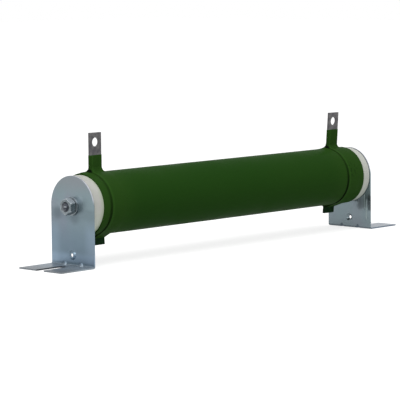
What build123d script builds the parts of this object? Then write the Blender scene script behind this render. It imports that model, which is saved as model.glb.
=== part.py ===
from build123d import *
import math
import os

# Tubular wirewound braking resistor on two folded steel brackets. Millimetres.
# X runs along the tube, Z is up, and the origin lies on the surface under the brackets,
# below the middle of the tube.

# Ceramic core tube, hollow from end to end
core_outer_radius = 26.0
core_wall = 7.5
core_length = 368.0
core_edge_chamfer = 0.6
axis_height = 52.0

# Resistance winding between the two terminal bands
winding_thickness = 0.6

# Enamel coating over the winding and the bands, which leaves the core's ends bare
bare_end_length = 11.0
coating_thickness = 0.4
coating_end_chamfer = 0.6
band_cover = 0.6
band_cover_margin = 0.8

# Terminal bands: one strap each, wrapped round the core, with its two ends raised as a
# doubled lug on top and its slack pinched into a doubled tab below
band_inset = 15.2
strap_width = 13.5
strap_thickness = 1.0
strap_slit = 0.12
lug_length = 34.5
lug_bend_radius = 3.5
terminal_hole_diameter = 8.0
terminal_hole_margin = 8.2
tab_length = 8.6
tab_bend_radius = 1.2
tab_spread_angle = 23.0
tab_turn_left = -4.0
tab_turn_right = 7.0

# End bushes, cemented into the core's bore, that centre the core on the tie rod
bush_length = 12.0
bush_clearance = 0.2

# Mica washers between the core and the brackets
mica_thickness = 0.5
mica_margin = 0.8

# Brackets: a leg with a round head, one bend, and a slotted foot
sheet_thickness = 1.2
bracket_margin = 0.25
bend_inner_radius = 1.0
foot_length = 39.5
slot_width = 9.0
slot_depth = 28.0
earth_hole_diameter = 3.3
earth_hole_height = 10.0
earth_collar_diameter = 5.4
earth_collar_rise = 1.3
earth_draw_diameter = 8.4
earth_funnel_diameter = 7.4
earth_funnel_depth = 1.4
dart_spacing = 20.0
dart_radius = 3.4
dart_rise = 2.2

# Tie rod, flat washers and hexagon nuts
rod_diameter = 8.0
rod_end_chamfer = 0.9
rod_protrusion = 1.3
rod_hole_clearance = 0.5
washer_diameter = 16.0
washer_thickness = 1.6
washer_clearance = 0.2
nut_across_flats = 13.0
nut_height = 6.5
nut_chamfer_angle = 30.0
nut_chamfer_share = 0.95
nut_turn = 14.0

# Sizes that follow from those above
bore_radius = core_outer_radius - core_wall
coating_length = core_length - 2 * bare_end_length
band_offset = coating_length / 2 - band_inset
winding_radius = core_outer_radius + winding_thickness
winding_length = 2 * band_offset - strap_width
coating_radius = winding_radius + coating_thickness
strap_outer_radius = core_outer_radius + strap_thickness
strap_half_lug = strap_slit / 2 + strap_thickness
band_cover_radius = strap_outer_radius + band_cover
lug_end = strap_outer_radius + lug_length
tab_end = strap_outer_radius + tab_length
rod_radius = rod_diameter / 2
rod_hole_radius = rod_radius + rod_hole_clearance
bracket_face = core_length / 2 + mica_thickness
bracket_width = 2 * (core_outer_radius + bracket_margin)
leg_height = axis_height + bracket_width / 2
bend_outer_radius = bend_inner_radius + sheet_thickness
dart_half_length = 2 * dart_radius + sheet_thickness
bracket_outer_face = bracket_face + sheet_thickness
nut_seat = bracket_outer_face + washer_thickness
rod_end = nut_seat + nut_height + rod_protrusion

# How far a cut runs past the face that it leaves, and how closely a rim's radius is matched
cut_margin = 1.0
radius_tolerance = 0.001

sides = {"left": -1, "right": 1}
tab_turns = {"left": tab_turn_left, "right": tab_turn_right}
centre_plane = Plane(origin=(0, 0, axis_height), x_dir=(0, 1, 0), z_dir=(1, 0, 0))
side_plane = Plane(origin=(0, 0, axis_height), x_dir=(1, 0, 0), z_dir=(0, -1, 0))

os.makedirs("parts", exist_ok=True)


def write(piece, name):
    """Label a finished piece and write it as its own file."""
    piece.label = name
    export_step(piece, f"parts/{name}.step")


def end_plane(sign, distance):
    """Plane across the tube's axis at one end, facing away from the middle."""
    return Plane(origin=(sign * distance, 0, axis_height), x_dir=(0, sign, 0), z_dir=(sign, 0, 0))


def turned(point, angle):
    """Point of the strap's section, turned about the tube's axis."""
    return Vector(*point).rotate(Axis.Z, angle)


def rims(part, radius):
    """Circular edges of a part that have the given radius."""
    circles = part.edges().filter_by(GeomType.CIRCLE)
    return circles.filter_by(lambda edge: abs(edge.radius - radius) < radius_tolerance)


def strap_contour(radius, half_width, reach, lug_bend, tab_bend, tab_turn):
    """One face of the strap's section: a circle, the doubled lug above it and the doubled
    tab below. Both faces of the strap have this form, one inside the other."""
    spread = math.radians(tab_spread_angle)
    lug_centre_x = half_width + lug_bend
    lug_centre_y = math.sqrt((radius + lug_bend) ** 2 - lug_centre_x**2)
    wrap_share = radius / (radius + lug_bend)
    wrap_start_angle = math.degrees(math.atan2(lug_centre_y, lug_centre_x))
    tab_centre_x = half_width + tab_bend
    tab_centre_y = (tab_centre_x * math.sin(spread) - radius - tab_bend) / math.cos(spread)
    web_end_x = tab_centre_x - tab_bend * math.sin(spread)
    web_end_y = tab_centre_y + tab_bend * math.cos(spread)
    fold_y = strap_half_lug - tab_end
    for side in (1, -1):
        lug_side = Line((side * half_width, reach), (side * half_width, lug_centre_y))
        wrap_start = (side * lug_centre_x * wrap_share, lug_centre_y * wrap_share)
        TangentArc(lug_side @ 1, wrap_start, tangent=lug_side % 1)
        wrap_from = 90 - side * (90 - wrap_start_angle)
        wrap_sweep = tab_turn - side * (90 - tab_spread_angle + wrap_start_angle)
        wrap = CenterArc((0, 0), radius, wrap_from, wrap_sweep)
        web = Line(wrap @ 1, turned((side * web_end_x, web_end_y), tab_turn))
        tab_top = turned((side * half_width, tab_centre_y), tab_turn)
        TangentArc(web @ 1, tab_top, tangent=web % 1)
        Line(tab_top, turned((side * half_width, fold_y), tab_turn))
    Line((half_width, reach), (-half_width, reach))
    ThreePointArc(
        turned((half_width, fold_y), tab_turn),
        turned((0, fold_y - half_width), tab_turn),
        turned((-half_width, fold_y), tab_turn),
    )


# Ceramic core tube
with BuildPart() as ceramic_core:
    with BuildSketch(centre_plane):
        Circle(core_outer_radius)
        Circle(bore_radius, mode=Mode.SUBTRACT)
    extrude(amount=core_length / 2, both=True)
    chamfer(rims(ceramic_core, core_outer_radius), core_edge_chamfer)
write(ceramic_core.part, "ceramic_core")

# Resistance winding, its close turns taken as one layer
with BuildPart() as resistance_winding:
    with BuildSketch(centre_plane):
        Circle(winding_radius)
        Circle(core_outer_radius, mode=Mode.SUBTRACT)
    extrude(amount=winding_length / 2, both=True)
write(resistance_winding.part, "resistance_winding")

# Terminal bands
terminal_bands = []
for side, sign in sides.items():
    with BuildPart() as terminal_band:
        with BuildSketch(centre_plane.offset(sign * band_offset)):
            with BuildLine():
                strap_contour(
                    strap_outer_radius,
                    strap_half_lug,
                    lug_end,
                    lug_bend_radius,
                    tab_bend_radius,
                    tab_turns[side],
                )
            make_face()
            with BuildLine():
                strap_contour(
                    core_outer_radius,
                    strap_slit / 2,
                    lug_end + cut_margin,
                    lug_bend_radius + strap_thickness,
                    tab_bend_radius + strap_thickness,
                    tab_turns[side],
                )
            make_face(mode=Mode.SUBTRACT)
        extrude(amount=strap_width / 2, both=True)
        with BuildSketch(side_plane):
            with Locations((sign * band_offset, lug_end - terminal_hole_margin)):
                Circle(terminal_hole_diameter / 2)
        extrude(amount=strap_half_lug + cut_margin, both=True, mode=Mode.SUBTRACT)
    write(terminal_band.part, f"terminal_band_{side}")
    terminal_bands.append(terminal_band.part)

# Enamel coating, raised over each band and cut through where the band's ends come out
with BuildPart() as enamel_coating:
    with BuildSketch(centre_plane):
        Circle(coating_radius)
    extrude(amount=coating_length / 2, both=True)
    chamfer(rims(enamel_coating, coating_radius), coating_end_chamfer)
    for sign in sides.values():
        with BuildSketch(centre_plane.offset(sign * band_offset)):
            Circle(band_cover_radius)
        extrude(amount=strap_width / 2 + band_cover_margin, both=True)
    with BuildSketch(centre_plane):
        Circle(core_outer_radius)
    extrude(amount=coating_length / 2, both=True, mode=Mode.SUBTRACT)
    with BuildSketch(centre_plane):
        Circle(winding_radius)
    extrude(amount=winding_length / 2, both=True, mode=Mode.SUBTRACT)
    add(terminal_bands, mode=Mode.SUBTRACT)
write(enamel_coating.part, "enamel_coating")

# End bushes
for side, sign in sides.items():
    with BuildPart() as end_bush:
        with BuildSketch(end_plane(sign, core_length / 2)):
            Circle(bore_radius - bush_clearance)
            Circle(rod_hole_radius, mode=Mode.SUBTRACT)
        extrude(amount=-bush_length)
    write(end_bush.part, f"end_bush_{side}")

# Mica washers
for side, sign in sides.items():
    with BuildPart() as mica_washer:
        with BuildSketch(end_plane(sign, core_length / 2)):
            Circle(core_outer_radius - mica_margin)
            Circle(rod_hole_radius, mode=Mode.SUBTRACT)
        extrude(amount=mica_thickness)
    write(mica_washer.part, f"mica_washer_{side}")

# Brackets, each folded from one strip of sheet
for side, sign in sides.items():
    fold_plane = Plane(origin=(sign * bracket_face, 0, 0), x_dir=(sign, 0, 0), z_dir=(0, -sign, 0))
    leg_plane = end_plane(sign, bracket_face)
    # Each dart is a round ridge that slopes across the inside corner of the bend
    dart_offset = (dart_radius - dart_rise) / math.sqrt(2)
    dart_x = sign * (bracket_outer_face - dart_offset)
    dart_z = sheet_thickness - dart_offset
    dart_planes = [
        Plane(origin=(dart_x, dart_y, dart_z), x_dir=(0, 1, 0), z_dir=(sign, 0, -1))
        for dart_y in (-dart_spacing / 2, dart_spacing / 2)
    ]
    with BuildPart() as bracket:
        # Leg, bend and foot
        with BuildSketch(fold_plane):
            with BuildLine():
                FilletPolyline(
                    (0, leg_height),
                    (0, 0),
                    (foot_length, 0),
                    (foot_length, sheet_thickness),
                    (sheet_thickness, sheet_thickness),
                    (sheet_thickness, leg_height),
                    radius=(bend_outer_radius, 0, 0, bend_inner_radius),
                )
                Line((sheet_thickness, leg_height), (0, leg_height))
            make_face()
        extrude(amount=bracket_width / 2, both=True)
        # Darts, kept to the inner side of the bend and pressed hollow from the outer side
        with BuildSketch(*dart_planes):
            Circle(dart_radius)
        extrude(amount=dart_half_length, both=True)
        with BuildSketch(fold_plane):
            with BuildLine():
                FilletPolyline(
                    (0, leg_height),
                    (0, 0),
                    (foot_length, 0),
                    (foot_length, leg_height),
                    radius=(bend_outer_radius, 0),
                )
                Line((foot_length, leg_height), (0, leg_height))
            make_face()
        extrude(amount=bracket_width / 2, both=True, mode=Mode.INTERSECT)
        with BuildSketch(*dart_planes):
            Circle(dart_radius - sheet_thickness)
        extrude(amount=dart_half_length, both=True, mode=Mode.SUBTRACT)
        # Round head and the rod's hole
        with BuildSketch(leg_plane):
            Circle(bracket_width / 2)
            with Locations((0, -axis_height / 2)):
                Rectangle(bracket_width, axis_height)
        extrude(amount=foot_length, mode=Mode.INTERSECT)
        with BuildSketch(leg_plane):
            Circle(rod_hole_radius)
        extrude(amount=sheet_thickness, mode=Mode.SUBTRACT)
        # Earthing hole, its rim drawn outwards into a short collar
        earth_axis = Axis((0, 0, earth_hole_height), (1, 0, 0))
        collar_end = sheet_thickness + earth_collar_rise
        with BuildSketch(fold_plane):
            with BuildLine():
                Polyline(
                    (0, earth_hole_height),
                    (0, earth_hole_height + earth_draw_diameter / 2),
                    (sheet_thickness, earth_hole_height + earth_draw_diameter / 2),
                    (collar_end, earth_hole_height + earth_collar_diameter / 2),
                    (collar_end, earth_hole_height),
                    close=True,
                )
            make_face()
        revolve(axis=earth_axis)
        with BuildSketch(fold_plane):
            with BuildLine():
                Polyline(
                    (0, earth_hole_height),
                    (0, earth_hole_height + earth_funnel_diameter / 2),
                    (earth_funnel_depth, earth_hole_height + earth_hole_diameter / 2),
                    (collar_end, earth_hole_height + earth_hole_diameter / 2),
                    (collar_end, earth_hole_height),
                    close=True,
                )
            make_face()
        revolve(axis=earth_axis, mode=Mode.SUBTRACT)
        # Slot in the foot, open at its outer edge
        with BuildSketch(Plane.XY):
            with Locations((sign * (bracket_face + foot_length), 0)):
                SlotCenterToCenter(2 * slot_depth - slot_width, slot_width)
        extrude(amount=sheet_thickness, mode=Mode.SUBTRACT)
    write(bracket.part, f"bracket_{side}")

# Tie rod through both brackets
with BuildPart() as tie_rod:
    with BuildSketch(centre_plane):
        Circle(rod_radius)
    extrude(amount=rod_end, both=True)
    chamfer(tie_rod.edges().filter_by(GeomType.CIRCLE), rod_end_chamfer)
write(tie_rod.part, "tie_rod")

# Flat washers
for side, sign in sides.items():
    with BuildPart() as flat_washer:
        with BuildSketch(end_plane(sign, bracket_outer_face)):
            Circle(washer_diameter / 2)
            Circle(rod_radius + washer_clearance, mode=Mode.SUBTRACT)
        extrude(amount=washer_thickness)
    write(flat_washer.part, f"flat_washer_{side}")

# Hexagon nuts, chamfered on their outer face
for side, sign in sides.items():
    corner_radius = nut_across_flats / math.sqrt(3)
    chamfer_radius = nut_chamfer_share * nut_across_flats / 2
    chamfer_depth = (corner_radius - chamfer_radius) * math.tan(math.radians(nut_chamfer_angle))
    turning_plane = Plane(origin=(sign * nut_seat, 0, axis_height), x_dir=(sign, 0, 0), z_dir=(0, -sign, 0))
    with BuildPart() as hex_nut:
        with BuildSketch(end_plane(sign, nut_seat)):
            RegularPolygon(nut_across_flats / 2, 6, major_radius=False, rotation=nut_turn)
        extrude(amount=nut_height)
        # Turned blank that takes the hexagon's corners off
        with BuildSketch(turning_plane):
            with BuildLine():
                Polyline(
                    (0, 0),
                    (0, corner_radius),
                    (nut_height - chamfer_depth, corner_radius),
                    (nut_height, chamfer_radius),
                    (nut_height, 0),
                    close=True,
                )
            make_face()
        revolve(axis=Axis((0, 0, axis_height), (1, 0, 0)), mode=Mode.INTERSECT)
        with BuildSketch(end_plane(sign, nut_seat)):
            Circle(rod_radius)
        extrude(amount=nut_height, mode=Mode.SUBTRACT)
    write(hex_nut.part, f"hex_nut_{side}")
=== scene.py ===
import math

import bmesh
import bpy
from mathutils import Matrix, Vector, noise


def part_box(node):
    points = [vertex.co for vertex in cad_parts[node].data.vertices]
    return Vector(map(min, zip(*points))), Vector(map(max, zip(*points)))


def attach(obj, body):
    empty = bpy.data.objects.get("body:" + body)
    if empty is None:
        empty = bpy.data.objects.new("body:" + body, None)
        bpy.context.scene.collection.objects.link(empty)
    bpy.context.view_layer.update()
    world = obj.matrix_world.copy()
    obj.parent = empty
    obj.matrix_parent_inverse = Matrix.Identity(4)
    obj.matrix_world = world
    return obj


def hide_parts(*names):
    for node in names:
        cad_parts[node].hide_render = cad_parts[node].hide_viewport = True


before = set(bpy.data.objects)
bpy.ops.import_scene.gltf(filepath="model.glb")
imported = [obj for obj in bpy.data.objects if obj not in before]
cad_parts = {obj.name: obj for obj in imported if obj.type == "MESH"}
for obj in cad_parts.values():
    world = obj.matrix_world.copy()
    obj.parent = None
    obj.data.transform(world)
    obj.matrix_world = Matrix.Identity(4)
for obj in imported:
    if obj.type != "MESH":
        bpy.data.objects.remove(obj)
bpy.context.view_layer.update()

MM = 0.001

# Thicknesses
ENAMEL_OVER_WIRE = 0.4 * MM
STRAP_THICKNESS = 1.0 * MM
SHEET_THICKNESS = 1.2 * MM

# Sizes read from the frame, in metres
core_low, core_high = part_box("ceramic_core")
coat_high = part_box("enamel_coating")[1]
wire_low, wire_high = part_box("resistance_winding")
rod_low, rod_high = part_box("tie_rod")
AXIS_Z = (core_low.z + core_high.z) / 2
CORE_R = (core_high.z - core_low.z) / 2
CORE_HALF = core_high.x
COAT_HALF = coat_high.x
COAT_R = (wire_high.z - wire_low.z) / 2 + ENAMEL_OVER_WIRE
ROD_R = (rod_high.z - rod_low.z) / 2
ROD_HALF = rod_high.x
STRAP_R = core_high.y + STRAP_THICKNESS
bracket_low, bracket_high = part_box("bracket_left")
HEAD_R = bracket_high.y
FOOT_END = -bracket_low.x
PLATE_OUTER = -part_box("flat_washer_left")[1].x
SIDES = {"left": -1, "right": 1}
bands = {}
for side in SIDES:
    low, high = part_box("terminal_band_" + side)
    bands[side] = {"low": low.x, "high": high.x, "top": high.z,
                   "middle": (low.x + high.x) / 2, "half": (high.x - low.x) / 2}

# Sizes of the brackets that their boxes don't show
SLOT_HALF = 4.5 * MM
SLOT_START = FOOT_END - 28 * MM
DART_OUT = PLATE_OUTER + 1.5 * MM
DART_Y = 10 * MM
DART_HEIGHT = 2.8 * MM


# Colours

def srgb(r, g, b):
    """A colour written in 0 to 255 screen values, as linear RGBA."""
    def linear(value):
        value /= 255
        return value / 12.92 if value <= 0.04045 else ((value + 0.055) / 1.055) ** 2.4
    return (linear(r), linear(g), linear(b), 1.0)


ENAMEL = {
    "green": srgb(29, 60, 18),
    "green_patch": srgb(33, 63, 20),
    "green_at_ends": srgb(38, 67, 23),
    "speck": srgb(20, 45, 12),
    "mark": srgb(18, 40, 12),
    "lip": srgb(46, 82, 30),
    "crevice_shade": srgb(6, 13, 4),
    "lug_foot_shade": srgb(6, 11, 5),
    "tab_shade": srgb(23, 46, 27),
    "tab_shade_patch": srgb(29, 55, 31),
}
ZINC = {
    "greenish": srgb(125, 142, 147),
    "violet": srgb(131, 138, 148),
    "spangle": srgb(140, 154, 166),
    "head": srgb(131, 137, 141),
    "low_left": srgb(102, 120, 134),
    "low_right": srgb(112, 124, 128),
    "side_reflection": srgb(132, 150, 166),
    "bend": srgb(66, 76, 82),
    "foot_near": srgb(138, 149, 158),
    "foot_far": srgb(116, 121, 126),
    "foot_right": srgb(102, 116, 132),
    "cut_edge_highlight": srgb(196, 199, 208),
    "slot_wall_shade": srgb(44, 48, 54),
    "dart": srgb(70, 84, 96),
    "reflection_streak": srgb(168, 184, 182),
    "belt": srgb(84, 98, 104),
    "cloud": srgb(84, 96, 102),
    "glint": srgb(160, 176, 184),
    "glow": srgb(150, 172, 196),
    "pale_reflection": srgb(138, 148, 156),
    "dark_reflection": srgb(52, 60, 62),
}
ZINC_EDGE_TINT = (0.55, 0.58, 0.62, 1.0)
STRAP = {"dark": srgb(78, 77, 80), "light": srgb(104, 103, 103), "scratch": srgb(64, 62, 66)}
NUT = {"dark": srgb(100, 110, 114), "light": srgb(136, 144, 149), "lit_from_above": srgb(166, 173, 180)}
ROD = {
    "dark": srgb(44, 48, 56),
    "light": srgb(96, 100, 106),
    "rim": srgb(40, 44, 52),
    "end_highlight": srgb(156, 162, 168),
}
CERAMIC = {
    "dark": srgb(163, 165, 158),
    "light": srgb(174, 174, 169),
    "fill_light_low_down": srgb(216, 223, 208),
    "right_end": srgb(190, 193, 186),
    "beside_coat": srgb(152, 166, 138),
}


# Node helpers

class Nodes:
    """A small wrapper that builds a material's node tree one node at a time."""

    def __init__(self, name):
        self.material = bpy.data.materials.new(name)
        self.material.use_nodes = True
        self.tree = self.material.node_tree
        self.tree.nodes.clear()
        self.out = self.tree.nodes.new("ShaderNodeOutputMaterial")
        place = self.tree.nodes.new("ShaderNodeTexCoord")
        self.point = place.outputs["Object"]
        self.normal = place.outputs["Normal"]

    def set(self, socket, value):
        if isinstance(value, bpy.types.NodeSocket):
            self.tree.links.new(value, socket)
        else:
            socket.default_value = value

    def node(self, kind, **inputs):
        made = self.tree.nodes.new(kind)
        for key, value in inputs.items():
            self.set(made.inputs[key], value)
        return made

    def axes(self, vector):
        """The X, Y and Z parts of a vector."""
        parts = self.node("ShaderNodeSeparateXYZ", Vector=vector)
        return parts.outputs["X"], parts.outputs["Y"], parts.outputs["Z"]

    def math(self, operation, a, b=0.0):
        made = self.tree.nodes.new("ShaderNodeMath")
        made.operation = operation
        self.set(made.inputs[0], a)
        self.set(made.inputs[1], b)
        return made.outputs[0]

    def plus(self, a, b):
        return self.math("ADD", a, b)

    def minus(self, a, b):
        return self.math("SUBTRACT", a, b)

    def times(self, *factors):
        total = factors[0]
        for factor in factors[1:]:
            total = self.math("MULTIPLY", total, factor)
        return total

    def size(self, value):
        return self.math("ABSOLUTE", value)

    def length(self, a, b):
        """Distance from the origin of a point in a plane."""
        return self.math("SQRT", self.plus(self.times(a, a), self.times(b, b)))

    def ramp(self, value, start, end, out_start=0.0, out_end=1.0):
        """Smooth change from one number to another while the value goes from `start` to `end`."""
        made = self.node("ShaderNodeMapRange", Value=value)
        made.interpolation_type = "SMOOTHSTEP"
        numbers = {"From Min": start, "From Max": end, "To Min": out_start, "To Max": out_end}
        for key, number in numbers.items():
            made.inputs[key].default_value = number
        return made.outputs[0]

    def rise(self, value, start, end, share=1.0):
        """Nothing up to `start`, and `share` from `end` on."""
        return self.ramp(value, start, end, 0.0, share)

    def fall(self, value, start, end, share=1.0):
        """`share` up to `start`, and nothing from `end` on."""
        return self.ramp(value, start, end, share, 0.0)

    def near(self, point, place, inside, outside, share=1.0):
        """`share` within `inside` of a place, and nothing beyond `outside`."""
        made = self.node("ShaderNodeVectorMath", Vector=point)
        made.operation = "DISTANCE"
        made.inputs[1].default_value = place
        return self.fall(made.outputs["Value"], inside, outside, share)

    def noise(self, scale, detail=3.0, stretch=(1, 1, 1), distortion=0.0):
        """Noise between 0 and 1, with `scale` cells to the metre."""
        mapping = self.node("ShaderNodeMapping", Vector=self.point, Scale=stretch)
        made = self.node("ShaderNodeTexNoise", Vector=mapping.outputs[0], Scale=scale, Detail=detail,
                         Distortion=distortion)
        return made.outputs["Fac"]

    def mix(self, factor, a, b):
        """Colour `a` where the factor is 0, and `b` where it is 1."""
        made = self.tree.nodes.new("ShaderNodeMix")
        made.data_type = "RGBA"
        self.set(made.inputs[0], factor)
        self.set(made.inputs[6], a)
        self.set(made.inputs[7], b)
        return made.outputs[2]

    def bump(self, height, strength, distance):
        return self.node("ShaderNodeBump", Height=height, Strength=strength, Distance=distance).outputs[0]

    def shader(self, color, roughness, normal, metallic=0.0, specular=0.5, edge_tint=(1, 1, 1, 1)):
        made = self.tree.nodes.new("ShaderNodeBsdfPrincipled")
        self.set(made.inputs["Base Color"], color)
        self.set(made.inputs["Roughness"], roughness)
        self.set(made.inputs["Normal"], normal)
        self.set(made.inputs["Metallic"], metallic)
        self.set(made.inputs["Specular IOR Level"], specular)
        self.set(made.inputs["Specular Tint"], edge_tint)
        return made.outputs[0]

    def finish(self, shader):
        self.tree.links.new(shader, self.out.inputs["Surface"])
        return self.material


# Enamel, satin and dark green
ENAMEL_SPECULAR = 0.007
# Share of the painted shade in the groove beside each band
CREVICE_SHADE_SHARE = {"left": 0.72, "right": 0.9}


def enamel_colour(n):
    """Two close greens in long soft patches, paler towards the coat's ends, with fine specks."""
    patches = n.noise(9, detail=2.0, stretch=(0.35, 1, 1))
    colour = n.mix(n.ramp(patches, 0.3, 0.7), ENAMEL["green"], ENAMEL["green_patch"])
    from_middle = n.size(n.axes(n.point)[0])
    at_ends = n.rise(from_middle, COAT_HALF - 48 * MM, COAT_HALF - 18 * MM, 0.75)
    colour = n.mix(at_ends, colour, ENAMEL["green_at_ends"])
    specks = n.noise(1400, detail=2.0)
    return n.mix(n.rise(specks, 0.58, 0.75, 0.35), colour, ENAMEL["speck"])


def enamel_relief(n):
    """Uneven flow and fine orange peel of the enamel's surface."""
    flow = n.noise(60, detail=2.0, stretch=(0.5, 1, 1))
    peel = n.noise(700)
    return n.bump(n.plus(n.times(flow, 3.0), n.times(peel, 0.35)), 0.35, 0.3 * MM)


def enamel_material(name):
    """Enamel of coat and lugs, with painted shade beside the bands and at the lugs' feet, and a painted
    highlight on each band's lip.
    """
    n = Nodes(name)
    x, _, z = n.axes(n.point)
    colour = enamel_colour(n)
    top = AXIS_Z + COAT_R
    shade = n.times(n.ramp(z, AXIS_Z - 12 * MM, AXIS_Z + 24 * MM, 1.0, 0.4),
                    n.fall(z, top + 1.2 * MM, top + 2.6 * MM))
    for side, band in bands.items():
        sway = n.times(n.minus(n.noise(90), 0.5), 0.4 * MM)
        place = n.plus(n.minus(x, band["low"]), sway)
        # Painted shade: the enamel darkened in the groove at each band's low edge, where shade falls.
        groove_shade = n.times(n.rise(place, -3.0 * MM, 0.3 * MM), n.fall(place, 0.5 * MM, 1.3 * MM))
        colour = n.mix(n.times(groove_shade, shade, CREVICE_SHADE_SHARE[side]), colour, ENAMEL["crevice_shade"])
        # Painted highlight: the enamel made paler on each band's raised lip, where it catches the light.
        lip = n.times(n.rise(place, 1.2 * MM, 1.8 * MM), n.fall(place, 2.0 * MM, 4.0 * MM))
        colour = n.mix(n.times(lip, 0.5), colour, ENAMEL["lip"])
        # Painted shade: a nearly black spot at the foot of each lug, in the hollow where the enamel is
        # drawn up.
        foot = (band["low"] - 1.3 * MM, -0.3 * MM, top + 0.5 * MM)
        colour = n.mix(n.near(n.point, foot, 2.2 * MM, 3.7 * MM, 0.96), colour, ENAMEL["lug_foot_shade"])
    marks = (bands["right"]["middle"], -0.9 * COAT_R, AXIS_Z + 0.3 * COAT_R)
    spots = n.times(n.near(n.point, marks, 4 * MM, 9 * MM), n.rise(n.noise(420), 0.52, 0.62))
    colour = n.mix(n.times(spots, 0.6), colour, ENAMEL["mark"])
    rough = n.ramp(n.noise(40, detail=2.0), 0.3, 0.7, 0.4, 0.52)
    return n.finish(n.shader(colour, rough, enamel_relief(n), specular=ENAMEL_SPECULAR))


def dark_enamel_material(name):
    """The same enamel darkened nearly to black on the tabs: painted shade under the tube."""
    n = Nodes(name)
    colour = n.mix(n.ramp(n.noise(300), 0.3, 0.7), ENAMEL["tab_shade"], ENAMEL["tab_shade_patch"])
    return n.finish(n.shader(colour, 0.45, enamel_relief(n), specular=ENAMEL_SPECULAR))


def strap_material(name):
    """Bare grey strap steel, mottled and scratched."""
    n = Nodes(name)
    cloud = n.noise(260, detail=4.0)
    scratches = n.noise(900, detail=2.0, stretch=(1, 1, 0.08))
    colour = n.mix(n.ramp(cloud, 0.35, 0.65), STRAP["dark"], STRAP["light"])
    colour = n.mix(n.rise(scratches, 0.55, 0.7, 0.5), colour, STRAP["scratch"])
    rough = n.ramp(cloud, 0.3, 0.7, 0.36, 0.5)
    return n.finish(n.shader(colour, rough, n.bump(cloud, 0.15, 0.2 * MM), metallic=0.8))


# Zinc plated sheet of the brackets, with the reflections of a room laid in as soft patches

# Place across, height over the axis, radius and share of each painted dark reflection cloud on the left
# bracket
CLOUDS = ((-3.0 * MM, -10.0 * MM, 8 * MM, 0.45), (18 * MM, -6.5 * MM, 8 * MM, 0.4))
# Middle across, half width, low end and high end of each pale painted reflection streak on the right
# bracket
REFLECTION_STREAKS = ((-21.5 * MM, 0.7 * MM, 8 * MM, 27 * MM), (-19.0 * MM, 0.55 * MM, 18 * MM, 32 * MM))
LINE_FADE = 3 * MM


class BracketNodes(Nodes):
    """Nodes with the coordinates by which the tones of both brackets are laid out."""

    def __init__(self, name):
        super().__init__(name)
        x, self.y, self.height = self.axes(self.point)
        self.across = self.size(self.y)
        self.outward = self.size(x)
        self.right = self.ramp(x, -10 * MM, 10 * MM)
        self.left = self.minus(1.0, self.right)


def sheet_colour(n):
    """Bluish plating that drifts towards green and violet, greyer at the head and darker low down, with a
    painted reflection at the sides and painted shade in the bend.
    """
    drift = n.noise(22, detail=2.0, distortion=0.6)
    colour = n.mix(n.ramp(drift, 0.35, 0.65), ZINC["greenish"], ZINC["violet"])
    colour = n.mix(n.rise(n.noise(500), 0.35, 0.7, 0.15), colour, ZINC["spangle"])
    colour = n.mix(n.rise(n.height, AXIS_Z + 6 * MM, AXIS_Z + 24 * MM, 0.8), colour, ZINC["head"])
    low = n.times(n.fall(n.height, 16 * MM, AXIS_Z + 4 * MM, 0.8), n.ramp(n.right, 0.0, 1.0, 1.0, 0.6))
    colour = n.mix(low, colour, n.mix(n.right, ZINC["low_left"], ZINC["low_right"]))
    # Painted reflection: lighter strips at the sides, low on the left bracket, for light caught by
    # slightly curled edges.
    sides = n.times(n.rise(n.across, 12 * MM, 22 * MM), n.fall(n.height, 28 * MM, 42 * MM, 0.5), n.left)
    colour = n.mix(sides, colour, ZINC["side_reflection"])
    # Painted shade: darker sheet in the bend at the foot.
    return n.mix(n.fall(n.height, 0.8 * MM, 2.4 * MM, 0.7), colour, ZINC["bend"])


def foot_colour(n, foot, colour):
    """Tint of each foot, greyer outwards on the left one."""
    outwards = n.rise(n.outward, PLATE_OUTER + 8 * MM, PLATE_OUTER + 38 * MM)
    left_foot = n.mix(outwards, ZINC["foot_near"], ZINC["foot_far"])
    return n.mix(foot, colour, n.mix(n.right, left_foot, ZINC["foot_right"]))


def head_edge(n, colour):
    """Pale cut edge round the bracket's arched head: a painted highlight on the sheet's edge."""
    above = n.math("MAXIMUM", n.minus(n.height, AXIS_Z), 0.0)
    from_axis = n.length(n.across, above)
    edge = n.times(n.rise(from_axis, HEAD_R - 0.3 * MM, HEAD_R - 0.05 * MM, 0.9),
                   n.rise(n.height, AXIS_Z + 2 * MM, AXIS_Z + 8 * MM))
    return n.mix(edge, colour, ZINC["cut_edge_highlight"])


def slot_and_darts(n, colour):
    """Painted shade on the walls inside the foot's slot and round the darts in the bend."""
    # Painted shade inside the slot.
    slot = n.times(n.fall(n.across, SLOT_HALF + 0.34 * MM, SLOT_HALF + 0.42 * MM),
                   n.fall(n.height, SHEET_THICKNESS + 0.1 * MM, SHEET_THICKNESS + 0.4 * MM),
                   n.rise(n.outward, SLOT_START - 1.4 * MM, SLOT_START - 0.4 * MM, 0.9))
    colour = n.mix(slot, colour, ZINC["slot_wall_shade"])
    folded = n.node("ShaderNodeCombineXYZ", X=n.outward, Y=n.y, Z=n.height).outputs[0]
    # Painted shade round each dart.
    for dart_y in (-DART_Y, DART_Y):
        dart = n.near(folded, (DART_OUT, dart_y, DART_HEIGHT), 2.0 * MM, 3.2 * MM, 0.5)
        colour = n.mix(dart, colour, ZINC["dart"])
    return colour


def reflection_streaks(n, colour, metal):
    """Painted reflection: fine pale streaks on the right bracket, duller than the sheet."""
    for middle, half, low_end, high_end in REFLECTION_STREAKS:
        beside = n.size(n.minus(n.y, middle))
        line = n.times(n.fall(beside, 0.5 * half, half), n.rise(n.height, low_end, low_end + LINE_FADE),
                       n.fall(n.height, high_end, high_end + LINE_FADE), n.right, 0.6)
        colour = n.mix(line, colour, ZINC["reflection_streak"])
        metal = n.minus(metal, line)
    return colour, metal


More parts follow.
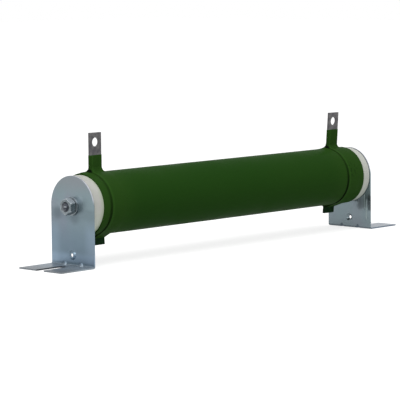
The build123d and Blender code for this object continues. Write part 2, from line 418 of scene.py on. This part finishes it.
def left_patches(n, colour):
    """Painted reflections on the left bracket: a dark belt and clouds about the nut, a painted glint, and
    a painted glow low down.
    """
    belt = n.times(n.fall(n.height, AXIS_Z - 4 * MM, AXIS_Z),
                   n.rise(n.height, AXIS_Z - 16 * MM, AXIS_Z - 8 * MM), n.left, 0.28)
    colour = n.mix(belt, colour, ZINC["belt"])
    for across, rise, radius, share in CLOUDS:
        cloud = n.near(n.point, (-PLATE_OUTER, across, AXIS_Z + rise), 0.2 * radius, radius, share)
        colour = n.mix(cloud, colour, ZINC["cloud"])
    glint = n.near(n.point, (-PLATE_OUTER, -9.5 * MM, AXIS_Z + 5 * MM), 1.5 * MM, 6 * MM, 0.6)
    colour = n.mix(glint, colour, ZINC["glint"])
    glow = n.times(n.rise(n.height, 2.5 * MM, 5 * MM), n.fall(n.height, 8 * MM, 14 * MM, 0.3), n.left)
    return n.mix(glow, colour, ZINC["glow"])


def right_patches(n, colour, metal):
    """Painted reflections on the right bracket, low down: a pale block with less metal, and a dark one at
    the sheet's edge.
    """
    level = n.times(n.right, n.rise(n.height, 17 * MM, 19 * MM), n.fall(n.height, 30 * MM, 34 * MM))
    pale = n.times(level, n.fall(n.size(n.plus(n.y, 14.5 * MM)), 2.5 * MM, 4.5 * MM))
    colour = n.mix(n.times(pale, 0.5), colour, ZINC["pale_reflection"])
    metal = n.minus(metal, n.times(pale, 0.4))
    dark = n.times(level, n.fall(n.y, -24.5 * MM, -22.8 * MM))
    return n.mix(n.times(dark, 0.75), colour, ZINC["dark_reflection"]), metal


def bracket_material(name):
    """Bright zinc plating on bent sheet, smoother on the right bracket and duller on the feet."""
    n = BracketNodes(name)
    foot = n.times(n.fall(n.height, SHEET_THICKNESS + 0.05 * MM, 4.0 * MM),
                   n.rise(n.outward, PLATE_OUTER - 0.1 * MM, PLATE_OUTER + 0.6 * MM))
    metal = n.minus(n.ramp(n.right, 0.0, 1.0, 0.85, 0.72), n.times(foot, 0.35))
    colour = foot_colour(n, foot, sheet_colour(n))
    colour = head_edge(n, colour)
    colour = slot_and_darts(n, colour)
    colour, metal = reflection_streaks(n, colour, metal)
    colour = left_patches(n, colour)
    colour, metal = right_patches(n, colour, metal)
    rough = n.minus(n.ramp(n.noise(120), 0.3, 0.7, 0.31, 0.38), n.times(n.right, 0.15))
    relief = n.bump(n.noise(180, detail=2.0), 0.12, 0.2 * MM)
    return n.finish(n.shader(colour, rough, relief, metallic=metal, edge_tint=ZINC_EDGE_TINT))


# Nuts, washers and rod

def hardware_material(name):
    """Duller zinc plating of nuts and washers, with painted light on what faces up: paler there, and less
    mirror-like.
    """
    n = Nodes(name)
    up = n.rise(n.axes(n.normal)[2], 0.25, 0.6)
    colour = n.mix(n.ramp(n.noise(420), 0.3, 0.7), NUT["dark"], NUT["light"])
    # Painted light: faces turned upwards made paler.
    colour = n.mix(n.times(up, 0.8), colour, NUT["lit_from_above"])
    rough = n.ramp(n.noise(900, detail=2.0), 0.3, 0.7, 0.24, 0.33)
    metal = n.minus(0.85, n.times(up, 0.45))
    return n.finish(n.shader(colour, rough, n.bump(n.noise(700), 0.1, 0.1 * MM), metallic=metal))


def rod_material(name):
    """Dark threaded rod with a painted highlight across its cut end."""
    n = Nodes(name)
    _, y, z = n.axes(n.point)
    up = n.minus(z, AXIS_Z)
    colour = n.mix(n.ramp(n.noise(420), 0.3, 0.7), ROD["dark"], ROD["light"])
    colour = n.mix(n.rise(n.length(y, up), 2.9 * MM, 3.4 * MM, 0.7), colour, ROD["rim"])
    # Painted highlight across the rod's cut end.
    end_highlight = n.times(n.fall(n.size(n.minus(up, 0.3 * MM)), 0.2 * MM, 0.8 * MM),
                     n.fall(n.size(n.plus(y, 1.3 * MM)), 1.1 * MM, 1.9 * MM))
    colour = n.mix(n.times(end_highlight, 0.9), colour, ROD["end_highlight"])
    rough = n.ramp(n.noise(900, detail=2.0), 0.3, 0.7, 0.29, 0.38)
    return n.finish(n.shader(colour, rough, n.bump(n.noise(700), 0.1, 0.1 * MM), metallic=0.8))


# Ceramic and the pieces that hardly show

def ceramic_material(name):
    """Unglazed fired ceramic, lighter to the right and faintly green beside the coat, with painted fill
    light low down.
    """
    n = Nodes(name)
    x, _, z = n.axes(n.point)
    colour = n.mix(n.ramp(n.noise(70, detail=4.0), 0.3, 0.7), CERAMIC["dark"], CERAMIC["light"])
    # Painted fill light: the ceramic made lighter low down.
    colour = n.mix(n.fall(z, AXIS_Z - 24 * MM, AXIS_Z + 4 * MM, 0.85), colour, CERAMIC["fill_light_low_down"])
    colour = n.mix(n.rise(x, -10 * MM, 10 * MM, 0.55), colour, CERAMIC["right_end"])
    from_middle = n.plus(n.size(x), n.times(n.noise(120), 3 * MM))
    tinted = n.fall(from_middle, COAT_HALF + 1 * MM, COAT_HALF + 6.5 * MM, 0.7)
    colour = n.mix(tinted, colour, CERAMIC["beside_coat"])
    return n.finish(n.shader(colour, 0.82, n.bump(n.noise(1800), 0.25, 0.2 * MM), specular=0.3))


def plain_material(name, dark, light, scale, roughness, metallic=0.0):
    """Two close colours in a fine grain."""
    n = Nodes(name)
    grain = n.noise(scale, detail=4.0)
    colour = n.mix(n.ramp(grain, 0.3, 0.7), dark, light)
    return n.finish(n.shader(colour, roughness, n.bump(grain, 0.2, 0.2 * MM), metallic=metallic))


# Mesh helpers

def add_piece(name, mesh, material, replaced=(), flat_sides=False):
    """Put a mesh in the scene as one piece of the object; flat_sides keeps its large faces plain."""
    piece = bpy.data.objects.new(name, mesh)
    bpy.context.scene.collection.objects.link(piece)
    mesh.materials.clear()
    mesh.materials.append(material)
    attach(piece, "root")
    if replaced:
        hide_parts(*replaced)
    if flat_sides:
        weighted = piece.modifiers.new("flat sides", "WEIGHTED_NORMAL")
        weighted.weight = 100
        weighted.keep_sharp = True


def edit_mesh(mesh, change):
    """Run a change on a mesh through bmesh."""
    bm = bmesh.new()
    bm.from_mesh(mesh)
    change(bm)
    bm.to_mesh(mesh)
    bm.free()


def fix_normals(mesh, sharp=35.0):
    """Turn all faces outwards and shade smooth up to an angle in degrees."""
    def change(bm):
        bmesh.ops.recalc_face_normals(bm, faces=bm.faces)
        for edge in bm.edges:
            edge.smooth = len(edge.link_faces) == 2 and edge.calc_face_angle(0.0) < math.radians(sharp)
        for face in bm.faces:
            face.smooth = True
    edit_mesh(mesh, change)


def grid_mesh(name, rows, close_rows=False):
    """Mesh of a grid of points with closed rows; close_rows also joins the last row to the first."""
    width = len(rows[0])
    faces = []
    for i in range(len(rows) if close_rows else len(rows) - 1):
        a, b = i * width, ((i + 1) % len(rows)) * width
        for j in range(width):
            k = (j + 1) % width
            faces.append((a + j, a + k, b + k, b + j))
    mesh = bpy.data.meshes.new(name)
    mesh.from_pydata([point for row in rows for point in row], [], faces)
    fix_normals(mesh)
    return mesh


def circle_angles(count):
    """Evenly spaced angles of a full turn."""
    return [2 * math.pi * i / count for i in range(count)]


def round_point(x, radius, angle):
    """Point at a radius from the tube's axis; angle 0 is at the top."""
    return (x, radius * math.sin(angle), AXIS_Z + radius * math.cos(angle))


def turned(name, profile, segments=160):
    """Closed ring turned about the tube's axis from a closed profile of (x, radius)."""
    angles = circle_angles(segments)
    return grid_mesh(name, [[round_point(x, r, a) for a in angles] for x, r in profile], close_rows=True)


def eased_copy(node, name, width):
    """Mesh of a CAD solid with its flat facets joined and its edges eased."""
    def change(bm):
        bmesh.ops.remove_doubles(bm, verts=bm.verts, dist=0.002 * MM)
        bmesh.ops.dissolve_limit(bm, angle_limit=math.radians(0.5), verts=bm.verts, edges=bm.edges)
        limit = math.radians(30)
        sharp = [e for e in bm.edges if len(e.link_faces) == 2 and e.calc_face_angle(0.0) > limit]
        bmesh.ops.bevel(bm, geom=sharp, offset=width, segments=2, profile=0.5, affect="EDGES",
                        clamp_overlap=True)
    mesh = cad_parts[node].data.copy()
    mesh.name = name
    edit_mesh(mesh, change)
    fix_normals(mesh)
    return mesh


def smooth(value, start, end):
    """Smooth step from 0 at `start` to 1 at `end`."""
    t = min(max((value - start) / (end - start), 0.0), 1.0)
    return t * t * (3 - 2 * t)


# Ceramic tube
CORE_WALL = 7.5 * MM
CORE_EASE = 0.6 * MM


def ceramic_tube():
    """Open tube with eased outer rims."""
    profile = []
    for side in (-1, 1):
        end = side * CORE_HALF
        rim = [(end - side * back * CORE_EASE, CORE_R - down * CORE_EASE)
               for back, down in ((1, 0), (0.3, 0.12), (0.1, 0.35), (0, 1))]
        rim.append((end, CORE_R - CORE_WALL))
        profile += rim if side < 0 else rim[::-1]
    tube = turned("ceramic_tube", profile)
    add_piece("ceramic_tube", tube, ceramic_material("ceramic"), ["ceramic_core"])


# Enamel coat: its plain radius, and how it rises and sinks about the bands
SKIN_R = COAT_R + 0.18 * MM
RIPPLE = 0.06 * MM
RIPPLES_ALONG = 35
RIPPLES_ROUND = 2.2
COVER = 0.33 * MM
GROOVE_DEPTH = 0.4 * MM
GROOVE_HALF = 0.5 * MM
GROOVE_BACK = 0.7 * MM
EDGE_WAVE = 0.3 * MM
EDGE_WAVES_ROUND = 1.6
LEFT_OVERRUN = 1.6 * MM
RIGHT_OVERRUN = 1.5 * MM
FLARE_HALF = 1.1 * MM
FLARE_RISE = 4.6 * MM
FLARE_FADE = 0.85 * MM
FLARE_FADE_BESIDE = 1.45 * MM
DRAWN_RISE = 0.95 * MM
DRAWN_FADE = 2.4 * MM
DRAWN_NEAR = 3 * MM
DRAWN_FAR = 11 * MM
TAB_TURNS = {"left": math.radians(-4.0), "right": math.radians(7.0)}
LEAN = {"left": 0.0, "right": math.radians(4.2)}
WEB_SPREAD = math.radians(33.0)
WEB_DROP = 2.4 * MM
WEB_END = 1.6 * MM
WEB_FADE_BESIDE = 1.1 * MM
LIP = 0.75 * MM
LIP_STEPS = 6
BELOW_CORE = 0.1 * MM
PLAIN_END = COAT_HALF - 3.0 * MM
PLAIN_ROWS = 40
ROW_STEP_AT_BAND = 0.2 * MM
ROW_STEP_PAST_BAND = 0.3 * MM


def waviness(place, angle, waves):
    """Smooth noise between -1 and 1 at an angle round the tube."""
    return noise.noise(Vector((place, waves * math.cos(angle), waves * math.sin(angle))))


def web_rise(off):
    """How far the enamel stands out beside the tab, at an angle `off` from the tab's middle."""
    off = abs(off)
    if off > WEB_SPREAD:
        return 0.0
    start = Vector((SKIN_R * math.sin(WEB_SPREAD), SKIN_R * math.cos(WEB_SPREAD)))
    run = Vector((WEB_END, SKIN_R + WEB_DROP)) - start
    cross = start.x * run.y - start.y * run.x
    radius = cross / (math.sin(off) * run.y - math.cos(off) * run.x)
    return min(radius - SKIN_R, WEB_DROP)


def lug_rise(band, x, angle, beside):
    """How far the enamel is drawn up round the lug's foot, and along the coat before the band."""
    off = max(abs(COAT_R * math.sin(angle)) - FLARE_HALF, 0.0)
    rise = FLARE_RISE * math.exp(-off / FLARE_FADE - beside / FLARE_FADE_BESIDE)
    before = band["low"] - x
    if before > 0.0:
        share = (1 - smooth(before, DRAWN_NEAR, DRAWN_FAR)) * (1 - math.exp(-before / MM))
        rise += DRAWN_RISE * math.exp(-off / DRAWN_FADE) * share
    return rise


def coat_radius(x, angle):
    """Outer radius of the enamel, raised over each band and drawn up at each lug and tab."""
    radius = SKIN_R + RIPPLE * waviness(RIPPLES_ALONG * x, angle, RIPPLES_ROUND)
    for side, band in bands.items():
        low, high = band["low"], band["high"]
        onto = smooth(x, low - 0.3 * MM, low + 0.15 * MM)
        off_again = smooth(x, high - 0.2 * MM, high + 5.5 * MM)
        radius += COVER * onto * (1 - off_again)
        groove = (x - (low - GROOVE_BACK)) / GROOVE_HALF
        radius -= GROOVE_DEPTH * math.exp(-groove * groove)
        beside = max(abs(x - band["middle"]) - band["half"], 0.0)
        if math.cos(angle) > 0:
            radius += lug_rise(band, x, angle, beside)
        else:
            from_tab = math.remainder(angle - math.pi + TAB_TURNS[side], 2 * math.pi)
            radius += web_rise(from_tab) * math.exp(-(beside / WEB_FADE_BESIDE) ** 2)
    return radius


def coat_edge(side, angle):
    """Where the dipped coat ends, a little unevenly; it runs further over the left end's top."""
    wave = EDGE_WAVE * waviness(3.0 * side, angle, EDGE_WAVES_ROUND)
    if side < 0:
        return -COAT_HALF - LEFT_OVERRUN * math.cos(angle) ** 3 + wave
    return COAT_HALF + RIGHT_OVERRUN + wave


def coat_stations():
    """Places along the coat with a row of points each, closer together about the bands."""
    places = [COAT_HALF * i / PLAIN_ROWS for i in range(1 - PLAIN_ROWS, PLAIN_ROWS)]
    for band in bands.values():
        places += [band["low"] + ROW_STEP_AT_BAND * i for i in range(-20, 21)]
        places += [band["high"] + ROW_STEP_PAST_BAND * i for i in range(-12, 24)]
    kept = []
    for place in sorted(places):
        if not kept or place - kept[-1] > 0.05 * MM:
            kept.append(place)
    return [x for x in kept if abs(x) < PLAIN_END]


def coat_angles():
    """Angles of the points in each row, closer together at the lugs and tabs, without near repeats."""
    degrees = list(range(-180, 180, 3))
    degrees += [0.7 * i for i in range(-20, 21)]
    degrees += [180 + 0.9 * i for i in range(-40, 41)]
    angles = sorted({round(math.remainder(math.radians(d), 2 * math.pi), 4) for d in degrees})
    following = angles[1:] + [angles[0] + 2 * math.pi]
    return [a for a, b in zip(angles, following) if b - a > 0.003]


def end_rows(side, angles):
    """Rows from the coat's rim at the ceramic to its full radius, with a rounded lip."""
    rows = [[round_point(coat_edge(side, a), CORE_R - BELOW_CORE, a) for a in angles]]
    for step in range(LIP_STEPS + 1):
        t = step / LIP_STEPS * math.pi / 2
        back = side * LIP * (1 - math.cos(t))
        down = LIP * (1 - math.sin(t))
        rows.append([round_point(coat_edge(side, a) - back, coat_radius(side * PLAIN_END, a) - down, a)
                     for a in angles])
    return rows


def enamel_coat(material):
    angles = coat_angles()
    rows = end_rows(-1, angles)
    rows += [[round_point(x, coat_radius(x, a), a) for a in angles] for x in coat_stations()]
    rows += end_rows(1, angles)[::-1]
    coat = grid_mesh("enamel_coat", rows, close_rows=True)
    add_piece("enamel_coat", coat, material, ["enamel_coating"])


# Enamel that covers the lower part of each lug and the whole tab
STRAP_HALF = 1.06 * MM
SLEEVE_SKIN = 0.34 * MM
SLEEVE_START = STRAP_R - 0.6 * MM
SLEEVE_STEPS = 12
# How a sleeve closes: distance before its end, and share of its skin there
SLEEVE_CLOSING = ((0.3 * MM, 1.0), (0.08 * MM, 0.75), (0.0, 0.4), (-0.02 * MM, -0.3))
TAB_END = STRAP_R + 8.6 * MM
OVER_TAB = 0.3 * MM
PAINT_BELOW_TOP = {"left": 19.3 * MM, "right": 16.3 * MM}
PAINT_UNEVEN = 0.25 * MM
PAINT_RAGGED = 1.5 * MM
PAINT_GRAIN = 260
ALONG = Vector((1, 0, 0))


def leaned(point, side):
    """A point of a lug, moved with the lug's slight lean towards the front."""
    above = max(point[2] - AXIS_Z - COAT_R, 0.0)
    return (point[0], point[1] - above * math.tan(LEAN[side]), point[2])


def rounded_row(centre, width, thickness, across):
    """Rounded rectangle round `centre`, given by its half sizes along X and along `across`."""
    corner = 0.45 * min(width, thickness)
    points = []
    for quarter, (sx, sy) in enumerate(((1, 1), (-1, 1), (-1, -1), (1, -1))):
        for step in range(5):
            a = math.radians(90 * quarter + 22.5 * step)
            px = sx * (width - corner) + corner * math.cos(a)
            py = sy * (thickness - corner) + corner * math.sin(a)
            points.append(tuple(centre + ALONG * px + across * py))
    return points


def fill_ends(bm):
    """Close the open ends of a tube of faces."""
    rims = [e for e in bm.edges if len(e.link_faces) == 1]
    bmesh.ops.holes_fill(bm, edges=rims)


def sleeve(name, side, angle, stop, material, uneven=0.0):
    """Skin of enamel round a doubled strap that leaves the tube at an angle, up to a distance `stop`."""
    band = bands[side]
    up = Vector((0, math.sin(angle), math.cos(angle)))
    across = Vector((0, math.cos(angle), -math.sin(angle)))
    foot = Vector((band["middle"], 0, AXIS_Z))
    levels = [(SLEEVE_START + (stop - SLEEVE_START) * i / SLEEVE_STEPS, 1.0) for i in range(SLEEVE_STEPS)]
    levels += [(stop - before, share) for before, share in SLEEVE_CLOSING]
    rows = []
    for height, share in levels:
        skin = share * SLEEVE_SKIN
        row = rounded_row(foot + up * height, band["half"] + skin, STRAP_HALF + skin, across)
        if uneven and height > stop - PAINT_RAGGED:
            row = [tuple(Vector(p) + up * uneven * noise.noise(Vector(p) * PAINT_GRAIN)) for p in row]
        if up.z > 0:
            row = [leaned(p, side) for p in row]
        rows.append(row)
    mesh = grid_mesh(name, rows)
    edit_mesh(mesh, fill_ends)
    fix_normals(mesh, sharp=50)
    add_piece(name, mesh, material)


def sleeves(side, enamel, dark_enamel):
    """Enamel on one band's lug, up to an uneven paint line, and over the end of its tab."""
    paint_edge = bands[side]["top"] - PAINT_BELOW_TOP[side] - AXIS_Z
    sleeve("lug_enamel_" + side, side, 0.0, paint_edge, enamel, PAINT_UNEVEN)
    sleeve("tab_enamel_" + side, side, math.pi - TAB_TURNS[side], TAB_END + OVER_TAB, dark_enamel)


# Terminal bands and brackets
BAND_EASE = 0.16 * MM
BRACKET_EASE = 0.22 * MM


def terminal_band(side, material):
    lug = eased_copy("terminal_band_" + side, "terminal_lug_" + side, BAND_EASE)
    for vertex in lug.vertices:
        vertex.co = leaned(vertex.co, side)
    add_piece("terminal_lug_" + side, lug, material, ["terminal_band_" + side],
              flat_sides=True)


def bracket(side, material):
    sheet = eased_copy("bracket_" + side, "foot_bracket_" + side, BRACKET_EASE)
    add_piece("foot_bracket_" + side, sheet, material, ["bracket_" + side],
              flat_sides=True)


# Washers and nuts
WASHER_GAP = 0.2 * MM
WASHER_EASE = 0.22 * MM
NUT_FLATS = 13.0 * MM
NUT_TURN = math.radians(-4.5)
NUT_FACE_R = 0.95 * NUT_FLATS / 2
NUT_CHAMFER = math.radians(30)
CHAMFER_SHARE = 0.88
NUT_POINTS = 144
COUNTERSINK = 0.45 * MM
RIM_EASE = 0.12 * MM
CORNER_EASE = 0.1 * MM


def washer(side, material):
    """Flat washer with eased outer edges and a little play round the rod."""
    low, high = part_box("flat_washer_" + side)
    outer, hole, e = (high.z - low.z) / 2, ROD_R + WASHER_GAP, WASHER_EASE
    rim = [(low.x, hole), (low.x, outer - e), (low.x + 0.3 * e, outer - 0.3 * e), (low.x + e, outer),
           (high.x - e, outer), (high.x - 0.3 * e, outer - 0.3 * e), (high.x, outer - e), (high.x, hole)]
    add_piece("washer_" + side, turned("washer_" + side, rim, 96), material,
              ["flat_washer_" + side])


def nut_profile(angle, height):
    """Depth from the seat and radius of the nut's points at an angle, from bore to bore."""
    from_flat = angle % (math.pi / 3) - math.pi / 6
    reach = NUT_FLATS / 2 / math.cos(from_flat)
    drop = max(reach - NUT_FACE_R, 0.0) * math.tan(NUT_CHAMFER)
    mouth = ROD_R + COUNTERSINK
    half = [(COUNTERSINK, ROD_R), (0.0, mouth), (0.0, NUT_FACE_R),
            (CHAMFER_SHARE * drop, reach - RIM_EASE), (drop + CORNER_EASE, reach)]
    return half + [(height - depth, radius) for depth, radius in half[::-1]]


def nut(side, sign, material):
    """Hexagon nut with chamfered corners and a countersunk bore at both faces."""
    low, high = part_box("hex_nut_" + side)
    seat = low.x if sign > 0 else high.x
    columns = []
    for angle in circle_angles(NUT_POINTS):
        theta = angle + math.pi / 6 + NUT_TURN
        y, z = sign * math.cos(theta), math.sin(theta)
        columns.append([(seat + sign * depth, radius * y, AXIS_Z + radius * z)
                        for depth, radius in nut_profile(angle, high.x - low.x)])
    rows = list(zip(*columns))
    mesh = grid_mesh("nut_" + side, rows, close_rows=True)
    add_piece("nut_" + side, mesh, material, ["hex_nut_" + side])


# Tie rod with a helical thread at both ends
PITCH = 1.25 * MM
THREAD_DEPTH = 0.62 * MM
THREAD_LENGTH = 22 * MM
THREAD_ROWS = 12
# Where a flank starts and ends, as shares of half a pitch
FLANK = (0.12, 0.95)
PLAIN_R = ROD_R - 0.3 * THREAD_DEPTH
ROD_CHAMFER = 0.9 * MM
ROD_POINTS = 96


def thread_radius(x, angle):
    """Radius of the rod at a place along it: threaded at the ends, plain between."""
    from_end = ROD_HALF - abs(x)
    if from_end > THREAD_LENGTH:
        return PLAIN_R
    turn = (abs(x) / PITCH + angle / (2 * math.pi) * (1 if x > 0 else -1)) % 1.0
    tooth = abs(2 * turn - 1)
    radius = ROD_R - THREAD_DEPTH * smooth(tooth, *FLANK)
    return min(radius, ROD_R - ROD_CHAMFER + from_end)


def join_tips(bm):
    """Join the points that lie together in the middle of each end."""
    bmesh.ops.remove_doubles(bm, verts=bm.verts, dist=0.0001 * MM)


def threaded_rod(material):
    count = int(THREAD_LENGTH / PITCH * THREAD_ROWS) + 2
    steps = [ROD_HALF - PITCH / THREAD_ROWS * i for i in range(count)]
    angles = circle_angles(ROD_POINTS)
    rows = [[(-ROD_HALF, 0.0, AXIS_Z)] * ROD_POINTS]
    for x in sorted([-step for step in steps] + steps):
        rows.append([round_point(x, thread_radius(x, a), a) for a in angles])
    rows.append([(ROD_HALF, 0.0, AXIS_Z)] * ROD_POINTS)
    mesh = grid_mesh("threaded_rod", rows)
    edit_mesh(mesh, join_tips)
    fix_normals(mesh, sharp=60)
    add_piece("threaded_rod", mesh, material, ["tie_rod"])


# Solids that hardly show

def dress_inner_solids():
    """Give the winding, the bushes and the mica washers their looks; they keep their CAD shape."""
    looks = {
        "resistance_winding": plain_material("wire", srgb(96, 92, 88), srgb(128, 122, 116), 900, 0.5, 0.8),
        "end_bush": plain_material("bush", srgb(196, 196, 188), srgb(212, 211, 204), 300, 0.8),
        "mica_washer": plain_material("mica_sheet", srgb(150, 144, 128), srgb(182, 176, 158), 240, 0.6),
    }
    for node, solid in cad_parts.items():
        for start, material in looks.items():
            if node.startswith(start):
                solid.data.materials.clear()
                solid.data.materials.append(material)


# Floor and world: white to the camera and in reflections, and grey to all other light
FLOOR_HALF = 6.0
FLOOR_BELOW = 0.2 * MM
FLOOR_GREY = (0.7, 0.7, 0.7, 1.0)
SHADOW_GREY = (0.42, 0.42, 0.42, 1.0)
SHADOW_LIFT = 0.74
WHITE = (1, 1, 1, 1)
DOME = {"From Min": -0.1, "From Max": 0.9, "To Min": 0.5, "To Max": 0.95}


def mix_for_background(tree, plain, background):
    """Shader that is `background` for rays that show the background, and `plain` for the rest."""
    path = tree.nodes.new("ShaderNodeLightPath")
    total = path.outputs["Is Camera Ray"]
    for kind in ("Is Glossy Ray", "Is Transmission Ray"):
        both = tree.nodes.new("ShaderNodeMath")
        both.operation = "MAXIMUM"
        tree.links.new(total, both.inputs[0])
        tree.links.new(path.outputs[kind], both.inputs[1])
        total = both.outputs[0]
    choice = tree.nodes.new("ShaderNodeMixShader")
    for socket, source in zip(choice.inputs, (total, plain, background)):
        tree.links.new(source, socket)
    return choice.outputs[0]


def floor_material(name):
    """Grey that lights the object, or white paper that still takes the object's shadow."""
    n = Nodes(name)
    grey = n.node("ShaderNodeBsdfDiffuse", Color=FLOOR_GREY).outputs[0]
    paper = n.node("ShaderNodeBsdfDiffuse", Color=SHADOW_GREY).outputs[0]
    lift = n.node("ShaderNodeEmission", Color=WHITE, Strength=SHADOW_LIFT).outputs[0]
    lifted = n.tree.nodes.new("ShaderNodeAddShader")
    n.tree.links.new(paper, lifted.inputs[0])
    n.tree.links.new(lift, lifted.inputs[1])
    return n.finish(mix_for_background(n.tree, grey, lifted.outputs[0]))


def add_floor():
    mesh = bpy.data.meshes.new("floor")
    corners = [(sx * FLOOR_HALF, sy * FLOOR_HALF, 0) for sx, sy in ((-1, -1), (1, -1), (1, 1), (-1, 1))]
    mesh.from_pydata(corners, [], [(0, 1, 2, 3)])
    mesh.materials.append(floor_material("floor"))
    floor = bpy.data.objects.new("floor", mesh)
    bpy.context.scene.collection.objects.link(floor)
    floor.location.z = -FLOOR_BELOW


def add_world():
    """Soft grey dome that grows brighter overhead."""
    world = bpy.data.worlds.new("studio")
    bpy.context.scene.world = world
    world.use_nodes = True
    tree = world.node_tree
    tree.nodes.clear()
    direction = tree.nodes.new("ShaderNodeTexCoord")
    parts = tree.nodes.new("ShaderNodeSeparateXYZ")
    tree.links.new(direction.outputs["Generated"], parts.inputs[0])
    strength = tree.nodes.new("ShaderNodeMapRange")
    for key, number in DOME.items():
        strength.inputs[key].default_value = number
    tree.links.new(parts.outputs["Z"], strength.inputs["Value"])
    soft = tree.nodes.new("ShaderNodeBackground")
    tree.links.new(strength.outputs[0], soft.inputs["Strength"])
    seen = tree.nodes.new("ShaderNodeBackground")
    seen.inputs["Color"].default_value = WHITE
    out = tree.nodes.new("ShaderNodeOutputWorld")
    choice = mix_for_background(tree, soft.outputs[0], seen.outputs[0])
    tree.links.new(choice, out.inputs["Surface"])


# Place, width and power of each lamp
LAMPS = {"top_light": ((-0.3, -0.5, 1.7), 1.4, 18), "side_light": ((-1.6, -0.6, 0.9), 0.7, 6)}


def softbox(name, place, width, power):
    """Square area lamp aimed at the middle of the tube."""
    data = bpy.data.lights.new(name, "AREA")
    data.shape = "SQUARE"
    data.size = width
    data.energy = power
    lamp = bpy.data.objects.new(name, data)
    bpy.context.scene.collection.objects.link(lamp)
    lamp.location = place
    lamp.rotation_mode = "QUATERNION"
    lamp.rotation_quaternion = (Vector(place) - Vector((0, 0, AXIS_Z))).to_track_quat("Z", "Y")


# Camera
CAMERA_PLACE = (-1.507403, -1.401714, 0.259416)
CAMERA_AZIMUTH = math.radians(43.43)
CAMERA_ELEVATION = math.radians(-6.027)
CAMERA_ROLL = math.radians(-0.543)
FOCAL_PIXELS = 2264.5
PICTURE_PIXELS = 400
SENSOR = 36.0


def add_camera():
    level = math.cos(CAMERA_ELEVATION)
    forward = Vector((math.cos(CAMERA_AZIMUTH) * level, math.sin(CAMERA_AZIMUTH) * level,
                      math.sin(CAMERA_ELEVATION)))
    right = forward.cross(Vector((0, 0, 1))).normalized()
    up = right.cross(forward)
    rolled_right = right * math.cos(CAMERA_ROLL) + up * math.sin(CAMERA_ROLL)
    rolled_up = up * math.cos(CAMERA_ROLL) - right * math.sin(CAMERA_ROLL)
    data = bpy.data.cameras.new("camera")
    data.sensor_width = SENSOR
    data.lens = SENSOR * FOCAL_PIXELS / PICTURE_PIXELS
    data.clip_start = 0.1
    data.clip_end = 50
    camera = bpy.data.objects.new("camera", data)
    bpy.context.scene.collection.objects.link(camera)
    turn = Matrix((rolled_right, rolled_up, -forward)).transposed().to_4x4()
    camera.matrix_world = Matrix.Translation(CAMERA_PLACE) @ turn
    bpy.context.scene.camera = camera


# The object
ceramic_tube()
enamel = enamel_material("enamel")
enamel_coat(enamel)
dark_enamel = dark_enamel_material("dark_enamel")
for side in SIDES:
    sleeves(side, enamel, dark_enamel)
zinc = bracket_material("zinc")
bare_steel = strap_material("bare_steel")
for side in SIDES:
    terminal_band(side, bare_steel)
    bracket(side, zinc)
hardware = hardware_material("hardware")
for side, sign in SIDES.items():
    washer(side, hardware)
    nut(side, sign, hardware)
threaded_rod(rod_material("rod_metal"))
dress_inner_solids()

# The stage
add_floor()
add_world()
for name, (place, width, power) in LAMPS.items():
    softbox(name, place, width, power)
add_camera()
bpy.context.scene.view_settings.view_transform = "Standard"
